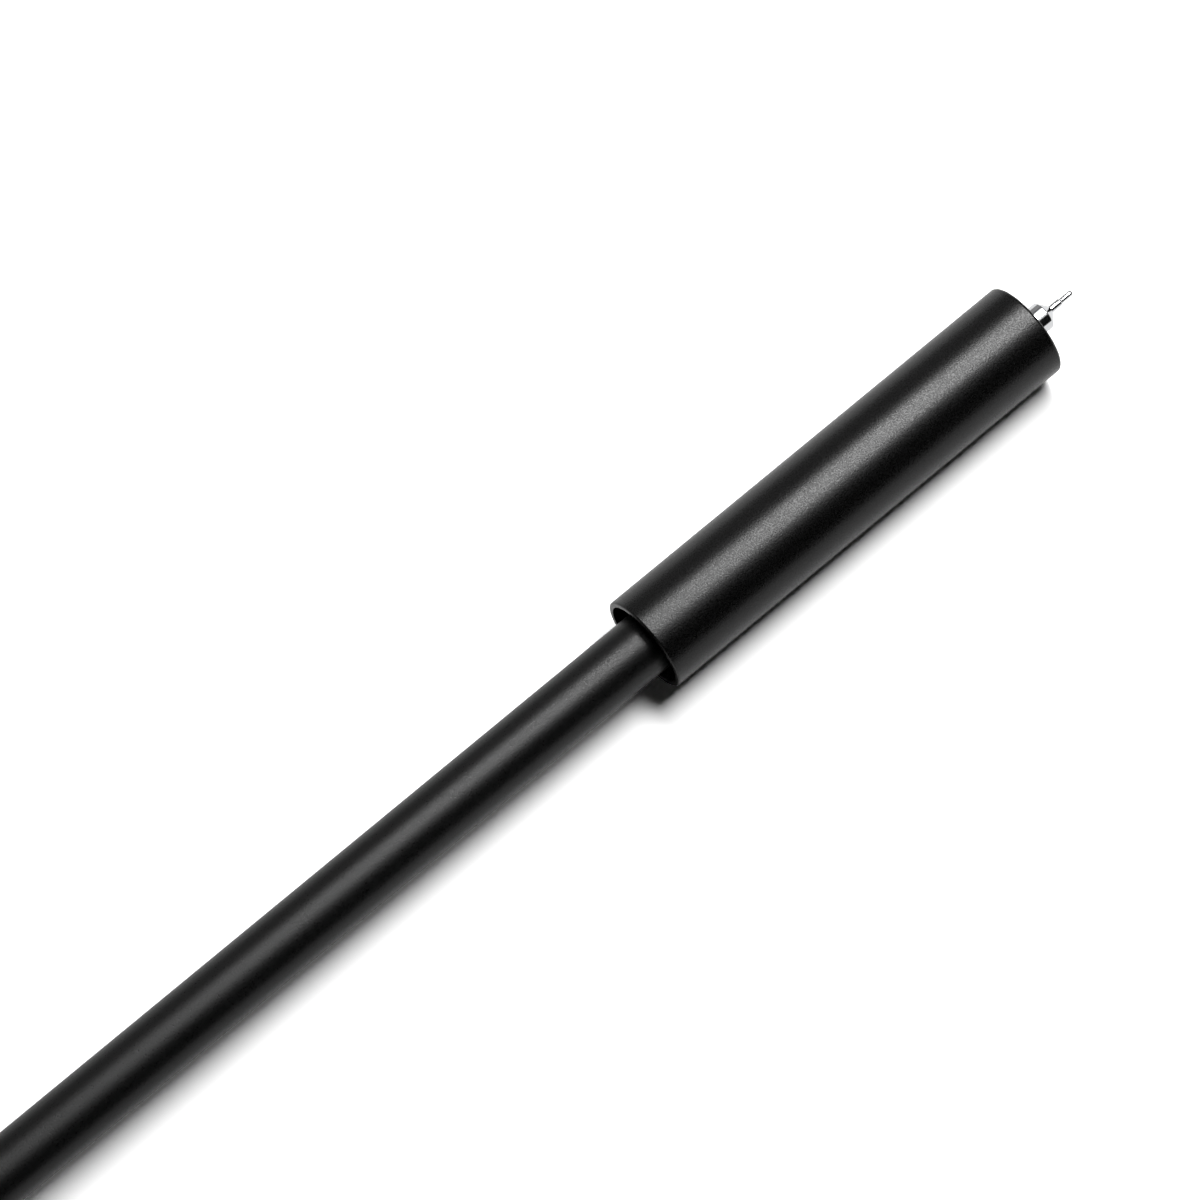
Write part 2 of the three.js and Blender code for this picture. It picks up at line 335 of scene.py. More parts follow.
@dataclass(frozen=True)
class MouldedPlastic:
    """A moulded plastic, a rubber, or the ink and grease in their tube.

    The mould leaves a faint waviness in the skin, so its highlights are soft at their edges.
    """

    name: str
    colour: str
    roughness: float
    ior: float = 1.5
    transmission: float = 0.0
    subsurface: float = 0.0
    scatter_mm: float = 1.0
    grain_mm: float = 0.2
    grain_depth_mm: float = 0.001

    def material(self) -> bpy.types.Material:
        """Builds the shader: a plain dielectric with a fine noise in its bump.

        Returns:
            The material.
        """
        material, tree = new_shader(self.name)
        place = add_node(tree, "ShaderNodeTexCoord").outputs["Object"]
        grain = add_node(
            tree,
            "ShaderNodeTexNoise",
            {"Vector": place, "Scale": per_mm(self.grain_mm), "Detail": 2.0},
        ).outputs["Fac"]
        bump = add_node(
            tree,
            "ShaderNodeBump",
            {"Height": grain, "Strength": 1.0, "Distance": self.grain_depth_mm * MM},
        ).outputs["Normal"]
        surface = add_node(
            tree,
            "ShaderNodeBsdfPrincipled",
            {
                "Base Color": linear(self.colour),
                "Roughness": self.roughness,
                "IOR": self.ior,
                "Transmission Weight": self.transmission,
                "Subsurface Weight": self.subsurface,
                "Subsurface Scale": self.scatter_mm * MM,
                "Normal": bump,
            },
        )
        finish_shader(tree, surface.outputs["BSDF"])
        return material


@dataclass(frozen=True)
class Span:
    """Where a turned CAD node lies: its ends along the pen and its outer radius, in metres."""

    tail: float
    front: float
    radius: float

    @classmethod
    def of(cls, node: str) -> "Span":
        """Reads a node's span from the frame."""
        low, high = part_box(node)
        return cls(low.x, high.x, (high.z - low.z) / 2)


AXIS_HEIGHT = Span.of("grip_sleeve").radius


@dataclass(frozen=True)
class Corner:
    """One corner of a turned section, with how far its edge is rounded, all in metres."""

    x: float
    radius: float
    rounding: float = 0.0


@dataclass
class TurnedShape:
    """A shape spun about the pen's axis from the corners of its section.

    A section that starts and ends on the axis is a solid, and any other closes on itself.
    """

    corners: list[Corner]
    flats: Flats = Flats.LARGE
    rounding_steps: int = 4
    merge: float = 0.0002 * MM
    near: float = 0.0005 * MM

    def spun(self) -> bmesh.types.BMesh:
        """Spins the section into a closed shape with its edges rounded.

        Returns:
            The mesh data, with its normals pointing out.
        """
        mesh = bmesh.new()
        verts = [mesh.verts.new((c.x, 0, AXIS_HEIGHT + c.radius)) for c in self.corners]
        edges = [mesh.edges.new(pair) for pair in zip(verts, verts[1:])]
        if self.corners[0].radius > 0:
            edges.append(mesh.edges.new((verts[-1], verts[0])))
        bmesh.ops.spin(
            mesh,
            geom=verts + edges,
            cent=(0, 0, AXIS_HEIGHT),
            axis=(1, 0, 0),
            angle=2 * math.pi,
            steps=self.flats.value,
            use_merge=True,
            use_duplicate=False,
        )
        bmesh.ops.remove_doubles(mesh, verts=mesh.verts, dist=self.merge)
        bmesh.ops.recalc_face_normals(mesh, faces=mesh.faces)
        for corner in self.corners:
            if corner.rounding > 0:
                self._round_edge(mesh, corner)
        return mesh

    def _round_edge(self, mesh: bmesh.types.BMesh, corner: Corner) -> None:
        """Rounds the ring of edges that one corner has left.

        Args:
            mesh: the spun shape.
            corner: the corner whose ring is rounded.
        """

        def on_ring(vert: bmesh.types.BMVert) -> bool:
            """Whether a vertex lies on the corner's ring."""
            out = math.hypot(vert.co.y, vert.co.z - AXIS_HEIGHT)
            return max(abs(vert.co.x - corner.x), abs(out - corner.radius)) < self.near

        ring = [e for e in mesh.edges if on_ring(e.verts[0]) and on_ring(e.verts[1])]
        bmesh.ops.bevel(
            mesh,
            geom=ring,
            offset=corner.rounding,
            offset_type="OFFSET",
            segments=self.rounding_steps,
            profile=0.5,
            affect="EDGES",
            material=-1,
        )


def add_piece(
    name: str,
    mesh: bmesh.types.BMesh,
    material: bpy.types.Material,
    body: Body,
    node: str,
) -> bpy.types.Object:
    """Makes a finished piece that stands for a CAD node.

    Args:
        name: the piece's name.
        mesh: its mesh data, which is freed.
        material: its finish.
        body: the body that it moves with.
        node: the CAD node that it replaces.

    Returns:
        The new object.
    """
    data = bpy.data.meshes.new(name)
    mesh.to_mesh(data)
    mesh.free()
    data.shade_smooth()
    data.set_sharp_from_angle(angle=SHARP_ANGLE)
    data.materials.append(material)
    piece = bpy.data.objects.new(name, data)
    bpy.context.scene.collection.objects.link(piece)
    even = piece.modifiers.new("even_shading", "WEIGHTED_NORMAL")
    even.keep_sharp = True
    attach(piece, body.value)
    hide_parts(node)
    log.info("piece %s: %d faces on %s", name, len(data.polygons), body.value)
    return piece


@dataclass
class GripSleeve:
    """The wide sleeve: a thin tube with a front wall, its two bushes and their rings."""

    brass: bpy.types.Material
    rubber: bpy.types.Material
    wall: float = 0.65 * MM
    front_wall: float = 2.4 * MM
    rim_rounding: float = 0.2 * MM
    bore_rounding: float = 0.06 * MM
    front_rounding: float = 0.38 * MM
    hole_play: float = 0.15 * MM
    hole_rounding: float = 0.15 * MM
    bush_play: float = 0.06 * MM
    bush_back: float = 0.5 * MM
    bush_rounding: float = 0.12 * MM
    ring_play: float = 0.05 * MM
    finish: BlastedAnodised = BlastedAnodised("blasted_black_sleeve")

    def build(self) -> None:
        """Builds the sleeve, its bushes and its rings."""
        self._tube()
        for end in ("front", "rear"):
            self._bush(end)
            self._ring(end)

    def _tube(self) -> None:
        """The black tube, open at its rear."""
        sleeve = Span.of("grip_sleeve")
        hole = Span.of("tip_collar").radius + self.hole_play
        bore = sleeve.radius - self.wall
        inner_front = sleeve.front - self.front_wall
        shape = TurnedShape(
            [
                Corner(sleeve.tail, bore, self.bore_rounding),
                Corner(sleeve.tail, sleeve.radius, self.rim_rounding),
                Corner(sleeve.front, sleeve.radius, self.front_rounding),
                Corner(sleeve.front, hole, self.hole_rounding),
                Corner(inner_front, hole),
                Corner(inner_front, bore),
            ]
        )
        black = self.finish.material()
        add_piece("sleeve_tube", shape.spun(), black, Body.SLEEVE, "grip_sleeve")

    def _bush(self, end: str) -> None:
        """One brass bush with its groove.

        Args:
            end: front or rear.
        """
        node = f"sleeve_bush_{end}"
        bush = Span.of(node)
        ring = Span.of(f"sleeve_o_ring_{end}")
        bore = Span.of("barrel").radius + self.bush_play
        groove = bush.radius - self.bush_back
        shape = TurnedShape(
            [
                Corner(bush.tail, bore, self.bush_rounding),
                Corner(bush.tail, bush.radius),
                Corner(bush.front, bush.radius),
                Corner(bush.front, bore, self.bush_rounding),
                Corner(ring.front + self.ring_play, bore),
                Corner(ring.front + self.ring_play, groove),
                Corner(ring.tail - self.ring_play, groove),
                Corner(ring.tail - self.ring_play, bore),
            ],
            Flats.MEDIUM,
        )
        add_piece(f"brass_bush_{end}", shape.spun(), self.brass, Body.SLEEVE, node)

    def _ring(self, end: str) -> None:
        """One rubber ring, squeezed between its groove and the barrel.

        Args:
            end: front or rear.
        """
        node = f"sleeve_o_ring_{end}"
        mesh = squeezed_ring(Span.of(node), Span.of("barrel").radius + self.ring_play)
        add_piece(f"rubber_ring_{end}", mesh, self.rubber, Body.SLEEVE_RINGS, node)


def squeezed_ring(ring: Span, inner: float, round_share: float = 0.45) -> bmesh.types.BMesh:
    """A rubber ring with a round-cornered section.

    Args:
        ring: its ends and its outer radius.
        inner: its inner radius.
        round_share: how far its corners are rounded, as a share of its thickness.

    Returns:
        The mesh data.
    """
    rounding = (ring.radius - inner) * round_share
    corners = [
        Corner(ring.tail, inner, rounding),
        Corner(ring.tail, ring.radius, rounding),
        Corner(ring.front, ring.radius, rounding),
        Corner(ring.front, inner, rounding),
    ]
    return TurnedShape(corners, Flats.MEDIUM, rounding_steps=5).spun()


@dataclass
class Barrel:
    """The long thin tube and the steel front section pressed in its mouth."""

    steel: bpy.types.Material
    thread_length: float = 6.5 * MM
    mouth_rounding: float = 0.25 * MM
    tail_rounding: float = 0.1 * MM
    guide_play: float = 0.06 * MM
    guide_rounding: float = 0.1 * MM
    press_gap: float = 0.02 * MM
    finish: BlastedAnodised = BlastedAnodised("blasted_black_barrel", ior=1.385, roughness=0.37)

    def build(self) -> None:
        """Builds the tube and its front section."""
        barrel = Span.of("barrel")
        section = Span.of("front_section")
        bore = section.radius + self.press_gap
        thread = Span.of("tail_o_ring").radius + self.press_gap
        thread_end = barrel.tail + self.thread_length
        tube = TurnedShape(
            [
                Corner(barrel.tail, thread),
                Corner(barrel.tail, barrel.radius, self.tail_rounding),
                Corner(barrel.front, barrel.radius, self.mouth_rounding),
                Corner(barrel.front, bore),
                Corner(thread_end, bore),
                Corner(thread_end, thread),
            ]
        )
        black = self.finish.material()
        add_piece("barrel_tube", tube.spun(), black, Body.BARREL, "barrel")
        guide = Span.of("tip_collar").radius + self.guide_play
        lead_in = (section.radius - guide) / 2
        nose = TurnedShape(
            [
                Corner(section.tail, guide + lead_in),
                Corner(section.tail, section.radius),
                Corner(section.front, section.radius),
                Corner(section.front, guide, self.guide_rounding),
                Corner(section.tail + lead_in, guide),
            ],
            Flats.MEDIUM,
        )
        add_piece("nose_guide", nose.spun(), self.steel, Body.BARREL, "front_section")


@dataclass
class Point:
    """The polished collar with its cone, the stepped needle and the writing ball."""

    polished: bpy.types.Material
    cone_length: float = 0.96 * MM
    cone_end_wall: float = 0.045 * MM
    collar_rounding: float = 0.1 * MM
    edge_rounding: float = 0.03 * MM
    spring_room: float = 0.9 * MM
    needle_radius: float = 0.42 * MM
    needle_length: float = 1.31 * MM
    needle_step: float = 0.1 * MM
    nose_radius: float = 0.32 * MM
    nose_end_radius: float = 0.31 * MM
    mouth_radius: float = 0.225 * MM
    mouth_wall: float = 0.04 * MM
    mouth_rounding: float = 0.015 * MM
    socket_radius: float = 0.27 * MM
    channel_radius: float = 0.14 * MM
    lip_length: float = 0.16 * MM
    lip_rounding: float = 0.05 * MM
    press_gap: float = 0.02 * MM

    def build(self) -> None:
        """Builds the three pieces."""
        self._collar()
        self._needle()
        self._ball()

    def _collar(self) -> None:
        """The collar, hollow behind its solid front."""
        collar = Span.of("tip_collar")
        needle = Span.of("needle_tube")
        grip = self.needle_radius + self.press_gap
        shape = TurnedShape(
            [
                Corner(collar.tail, self.spring_room),
                Corner(collar.tail, collar.radius, self.collar_rounding),
                Corner(collar.front - self.cone_length, collar.radius, self.collar_rounding),
                Corner(collar.front, self.needle_radius + self.cone_end_wall, self.edge_rounding),
                Corner(collar.front, grip),
                Corner(needle.tail, grip),
                Corner(needle.tail, self.spring_room),
            ],
            Flats.MEDIUM,
        )
        mesh = shape.spun()
        add_piece("polished_collar", mesh, self.polished, Body.REFILL, "tip_collar")

    def _needle(self) -> None:
        """The stepped needle, closed in round the ball at its mouth."""
        needle = Span.of("needle_tube")
        ball = Span.of("writing_ball")
        step = Span.of("tip_collar").front + self.needle_length
        lip = needle.front - self.lip_length
        centre = (ball.tail + ball.front) / 2
        seat = (ball.radius + self.press_gap / 2) * math.sqrt(2)
        shape = TurnedShape(
            [
                Corner(needle.tail, self.channel_radius),
                Corner(needle.tail, self.needle_radius),
                Corner(step, self.needle_radius, self.edge_rounding),
                Corner(step + self.needle_step, self.nose_radius, self.edge_rounding),
                Corner(lip, self.nose_end_radius, self.lip_rounding),
                Corner(needle.front, self.mouth_radius + self.mouth_wall, self.mouth_rounding),
                Corner(needle.front, self.mouth_radius),
                Corner(centre + self.press_gap, self.socket_radius),
                Corner(centre - seat + self.socket_radius, self.socket_radius),
                Corner(centre - seat + self.channel_radius, self.channel_radius),
            ],
            Flats.SMALL,
        )
        mesh = shape.spun()
        add_piece("stepped_needle", mesh, self.polished, Body.REFILL, "needle_tube")

    def _ball(self) -> None:
        """The ball in the needle's mouth."""
        ball = Span.of("writing_ball")
        mesh = bmesh.new()
        bmesh.ops.create_icosphere(mesh, subdivisions=4, radius=ball.radius)
        centre = Vector(((ball.tail + ball.front) / 2, 0, AXIS_HEIGHT))
        bmesh.ops.translate(mesh, verts=mesh.verts, vec=centre)
        add_piece("ball", mesh, self.polished, Body.BALL, "writing_ball")


@dataclass
class Refill:
    """What the barrel holds: the ink tube, its fittings and what fills it."""

    finishes: dict[Slot, bpy.types.Material]
    tube_wall: float = 0.6 * MM
    adapter_bore: float = 0.55 * MM
    vent: float = 0.4 * MM
    cup_boss: float = 2.0 * MM
    cup_boss_radius: float = 1.53 * MM
    press_gap: float = 0.02 * MM
    rounding: float = 0.08 * MM

    def build(self) -> None:
        """Builds every piece of the refill."""
        tube = Span.of("refill_tube")
        bore = tube.radius - self.tube_wall
        corners = [
            Corner(tube.tail, bore),
            Corner(tube.tail, tube.radius, self.rounding),
            Corner(tube.front, tube.radius, self.rounding),
            Corner(tube.front, bore),
        ]
        self._turn("ink_tube", "refill_tube", Slot.CLEAR, corners)
        for node, slot in (("ink_column", Slot.INK), ("follower_grease", Slot.GREASE)):
            fill = Span.of(node)
            corners = [
                Corner(fill.tail, 0),
                Corner(fill.tail, fill.radius),
                Corner(fill.front, fill.radius),
                Corner(fill.front, 0),
            ]
            self._turn(f"{node}_fill", node, slot, corners)
        self._adapter()
        self._end_plug()
        self._cup()

    def _turn(self, name: str, node: str, slot: Slot, corners: list[Corner]) -> None:
        """Spins one piece of the refill and adds it.

        Args:
            name: the piece's name.
            node: the CAD node that it replaces.
            slot: the record's slot of its finish.
            corners: its section.
        """
        mesh = TurnedShape(corners, Flats.MEDIUM).spun()
        add_piece(name, mesh, self.finishes[slot], Body.REFILL, node)

    def _adapter(self) -> None:
        """The joint between the collar and the ink tube."""
        adapter = Span.of("tip_adapter")
        tube = Span.of("refill_tube")
        collar = Span.of("tip_collar")
        spigot = tube.radius - self.tube_wall - self.press_gap
        socket = collar.radius + self.press_gap
        corners = [
            Corner(adapter.tail, self.adapter_bore),
            Corner(adapter.tail, spigot, self.rounding),
            Corner(tube.front, spigot),
            Corner(tube.front, adapter.radius, self.rounding),
            Corner(adapter.front, adapter.radius, self.rounding),
            Corner(adapter.front, socket),
            Corner(collar.tail, socket),
            Corner(collar.tail, self.adapter_bore),
        ]
        self._turn("collar_adapter", "tip_adapter", Slot.WHITE, corners)

    def _end_plug(self) -> None:
        """The vented plug in the tube's tail."""
        plug = Span.of("refill_end_plug")
        tube = Span.of("refill_tube")
        spigot = tube.radius - self.tube_wall - self.press_gap
        corners = [
            Corner(plug.tail, self.vent),
            Corner(plug.tail, plug.radius, self.rounding),
            Corner(tube.tail, plug.radius),
            Corner(tube.tail, spigot),
            Corner(plug.front, spigot, self.rounding),
            Corner(plug.front, self.vent),
        ]
        self._turn("vented_plug", "refill_end_plug", Slot.WHITE, corners)

    def _cup(self) -> None:
        """The cup on the refill's tail, with its boss inside the spring."""
        cup = Span.of("refill_cup")
        plug = Span.of("refill_end_plug")
        seat = plug.radius + self.press_gap
        shoulder = cup.tail + self.cup_boss
        corners = [
            Corner(cup.tail, self.vent),
            Corner(cup.tail, self.cup_boss_radius, self.rounding),
            Corner(shoulder, self.cup_boss_radius),
            Corner(shoulder, cup.radius, self.rounding),
            Corner(cup.front, cup.radius, self.rounding),
            Corner(cup.front, seat),
            Corner(plug.tail, seat),
            Corner(plug.tail, self.vent),
        ]
        self._turn("spring_cup", "refill_cup", Slot.WHITE, corners)


@dataclass
class Springs:
    """The spring behind the refill, and the fine one that keeps the ball on its seat."""

    steel: bpy.types.Material
    refill_wire: float = 0.4 * MM
    refill_turns: int = 11
    ball_wire: float = 0.14 * MM
    ball_turns: int = 7
    ball_coil: float = 8.0 * MM
    steps: int = 32
    wire_facets: int = 3
    merge: float = 0.0001 * MM

    def build(self) -> None:
        """Builds both springs."""
        coil = Span.of("refill_spring")
        radius = coil.radius - self.refill_wire / 2
        start = coil.tail + self.refill_wire / 2
        end = coil.front - self.refill_wire / 2
        path = self._helix(start, end, radius, self.refill_turns)
        name = "refill_coil"
        mesh = self._wire(name, path, self.refill_wire)
        spring = add_piece(name, mesh, self.steel, Body.REFILL, "refill_spring")
        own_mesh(spring)
        self._ball_spring()

    def _ball_spring(self) -> None:
        """The fine spring, whose last turn closes in to a straight leg on the axis."""
        coil = Span.of("ball_spring")
        radius = coil.radius - self.ball_wire / 2
        start = coil.tail + self.ball_wire / 2
        path = self._helix(start, start + self.ball_coil, radius, self.ball_turns, closing=True)
        path.append(Vector((coil.front, 0, AXIS_HEIGHT)))
        name = "ball_coil"
        mesh = self._wire(name, path, self.ball_wire)
        add_piece(name, mesh, self.steel, Body.REFILL, "ball_spring")

    def _helix(
        self, start: float, end: float, radius: float, turns: int, closing: bool = False
    ) -> list[Vector]:
        """The middle line of a coil about the pen's axis.

        Args:
            start: where it starts along the pen.
            end: where it ends.
            radius: from the axis to the middle of the wire.
            turns: how many turns it has.
            closing: whether its last turn closes in to the axis.

        Returns:
            The points of the line.
        """
        path = []
        for step in range(turns * self.steps + 1):
            turn = step / self.steps
            inward = min(turns - turn, 1.0) if closing else 1.0
            out = Vector((0, 0, radius * inward))
            out.rotate(Matrix.Rotation(-2 * math.pi * turn, 3, "X"))
            along = start + (end - start) * turn / turns
            path.append(Vector((along, 0, AXIS_HEIGHT)) + out)
        return path

    def _wire(self, name: str, path: list[Vector], diameter: float) -> bmesh.types.BMesh:
        """Draws a round wire along a line.

        Args:
            name: the wire's name.
            path: the points of its middle line.
            diameter: its thickness.

        Returns:
            The mesh data.
        """
        line = bpy.data.curves.new(name, "CURVE")
        line.dimensions = "3D"
        spline = line.splines.new("POLY")
        spline.points.add(len(path) - 1)
        for point, place in zip(spline.points, path):
            point.co = (*place, 1)
        line.bevel_depth = diameter / 2
        line.bevel_resolution = self.wire_facets
        line.use_fill_caps = True
        drawn = bpy.data.objects.new(name, line)
        mesh = bmesh.new()
        mesh.from_mesh(drawn.to_mesh())
        drawn.to_mesh_clear()
        bpy.data.objects.remove(drawn)
        bpy.data.curves.remove(line)
        bmesh.ops.remove_doubles(mesh, verts=mesh.verts, dist=self.merge)
        bmesh.ops.recalc_face_normals(mesh, faces=mesh.faces)
        return mesh


@dataclass
class TailEnd:
    """The screw plug in the barrel's tail and its rubber ring."""

    black: bpy.types.Material
    rubber: bpy.types.Material
    head_rounding: float = 0.3 * MM
    collar_rounding: float = 0.05 * MM
    groove_depth: float = 0.7 * MM
    shank_rounding: float = 0.1 * MM
    spigot: float = 3.0 * MM
    spigot_radius: float = 1.53 * MM
    spigot_rounding: float = 0.15 * MM
    thread_play: float = 0.04 * MM
    ring_play: float = 0.05 * MM
    slot_width: float = 1.0 * MM
    slot_depth: float = 0.7 * MM
    pitch: float = 0.5 * MM
    thread_depth: float = 0.28 * MM
    thread_shoulder: float = 0.35 * MM
    thread_root: float = 0.05 * MM
    thread_crest: float = 0.04 * MM
    flank_share: float = 0.44
    near: float = 0.001 * MM
    merge: float = 0.0001 * MM

    def build(self) -> None:
        """Builds the plug and its ring."""
        plug = Span.of("tail_plug")
        ring = Span.of("tail_o_ring")
        barrel = Span.of("barrel")
        thread = ring.radius - self.thread_play
        groove = thread - self.groove_depth
        face = plug.front - self.spigot
        thread_start = ring.front + self.ring_play + self.thread_shoulder
        core = thread - self.thread_depth
        shape = TurnedShape(
            [
                Corner(plug.tail, 0),
                Corner(plug.tail, plug.radius, self.head_rounding),
                Corner(barrel.tail, plug.radius, self.collar_rounding),
                Corner(barrel.tail, thread),
                Corner(ring.tail - self.ring_play, thread),
                Corner(ring.tail - self.ring_play, groove),
                Corner(ring.front + self.ring_play, groove),
                Corner(ring.front + self.ring_play, thread),
                Corner(thread_start, thread),
                Corner(thread_start, core),
                Corner(face, core, self.shank_rounding),
                Corner(face, self.spigot_radius),
                Corner(plug.front, self.spigot_radius, self.spigot_rounding),
                Corner(plug.front, 0),
            ]
        )
        mesh = shape.spun()
        self._cut_slot(mesh, plug.tail)
        self._add_thread(mesh, thread_start - self.pitch / 2, face - self.pitch, core, thread)
        add_piece("tail_screw_plug", mesh, self.black, Body.TAIL_PLUG, "tail_plug")
        mesh = squeezed_ring(ring, groove + self.ring_play)
        add_piece("rubber_ring_tail", mesh, self.rubber, Body.TAIL_RING, "tail_o_ring")

    def _cut_slot(self, mesh: bmesh.types.BMesh, tail: float) -> None:
        """Cuts the coin slot across the plug's head.

        Args:
            mesh: the spun plug.
            tail: where its end face is.
        """
        floor = tail + self.slot_depth
        sides = (AXIS_HEIGHT - self.slot_width / 2, AXIS_HEIGHT + self.slot_width / 2)
        planes = [((floor, 0, 0), (1, 0, 0))] + [((0, 0, side), (0, 0, 1)) for side in sides]
        for place, across in planes:
            head = [f for f in mesh.faces if min(v.co.x for v in f.verts) < floor - self.near]
            geom = {part for f in head for part in (*f.verts, *f.edges, f)}
            bmesh.ops.bisect_plane(
                mesh, geom=list(geom), dist=self.merge, plane_co=place, plane_no=across
            )
        waste = []
        for face in mesh.faces:
            middle = face.calc_center_median()
            if middle.x < floor and sides[0] < middle.z < sides[1]:
                waste.append(face)
        bmesh.ops.delete(mesh, geom=waste, context="FACES")
        rim = [e for e in mesh.edges if e.is_boundary]
        ends = [v for e in rim for v in e.verts if abs(v.co.x - floor) < self.near]
        floor_edges = []
        for side in sides:
            pair = {v for v in ends if abs(v.co.z - side) < self.near}
            floor_edges.append(mesh.edges.new(tuple(pair)))
        for side, floor_edge in zip(sides, floor_edges):
            wall = [e for e in rim if all(abs(v.co.z - side) < self.near for v in e.verts)]
            bmesh.ops.edgenet_fill(mesh, edges=wall + [floor_edge])
        arcs = [e for e in rim if all(abs(v.co.x - floor) < self.near for v in e.verts)]
        bmesh.ops.edgenet_fill(mesh, edges=arcs + floor_edges)
        bmesh.ops.recalc_face_normals(mesh, faces=mesh.faces)

    def _add_thread(
        self, mesh: bmesh.types.BMesh, start: float, end: float, core: float, crest: float
    ) -> None:
        """Winds the thread's ridge round the plug's shank.

        Args:
            mesh: the plug.
            start: where the ridge starts along the pen.
            end: where its last turn ends at most.
            core: the shank's radius under the thread.
            crest: the ridge's outer radius.
        """
        root = core - self.thread_root
        flank = self.pitch * self.flank_share
        top = self.thread_crest
        places = ((-flank, root), (-top, crest), (top, crest), (flank, root))
        verts = [mesh.verts.new((start + x, 0, AXIS_HEIGHT + r)) for x, r in places]
        edges = [mesh.edges.new((verts[i - 1], verts[i])) for i in range(len(verts))]
        mesh.faces.new(verts)
        turns = int((end - start) / self.pitch)
        steps = turns * Flats.SMALL.value
        grown = bmesh.ops.spin(
            mesh,
            geom=verts + edges,
            cent=(0, 0, AXIS_HEIGHT),
            axis=(1, 0, 0),
            dvec=(turns * self.pitch / steps, 0, 0),
            angle=-2 * math.pi * turns,
            steps=steps,
            use_duplicate=False,
        )
        last = [v for v in grown["geom_last"] if isinstance(v, bmesh.types.BMVert)]
        bmesh.ops.contextual_create(mesh, geom=last)
        bmesh.ops.recalc_face_normals(mesh, faces=mesh.faces)


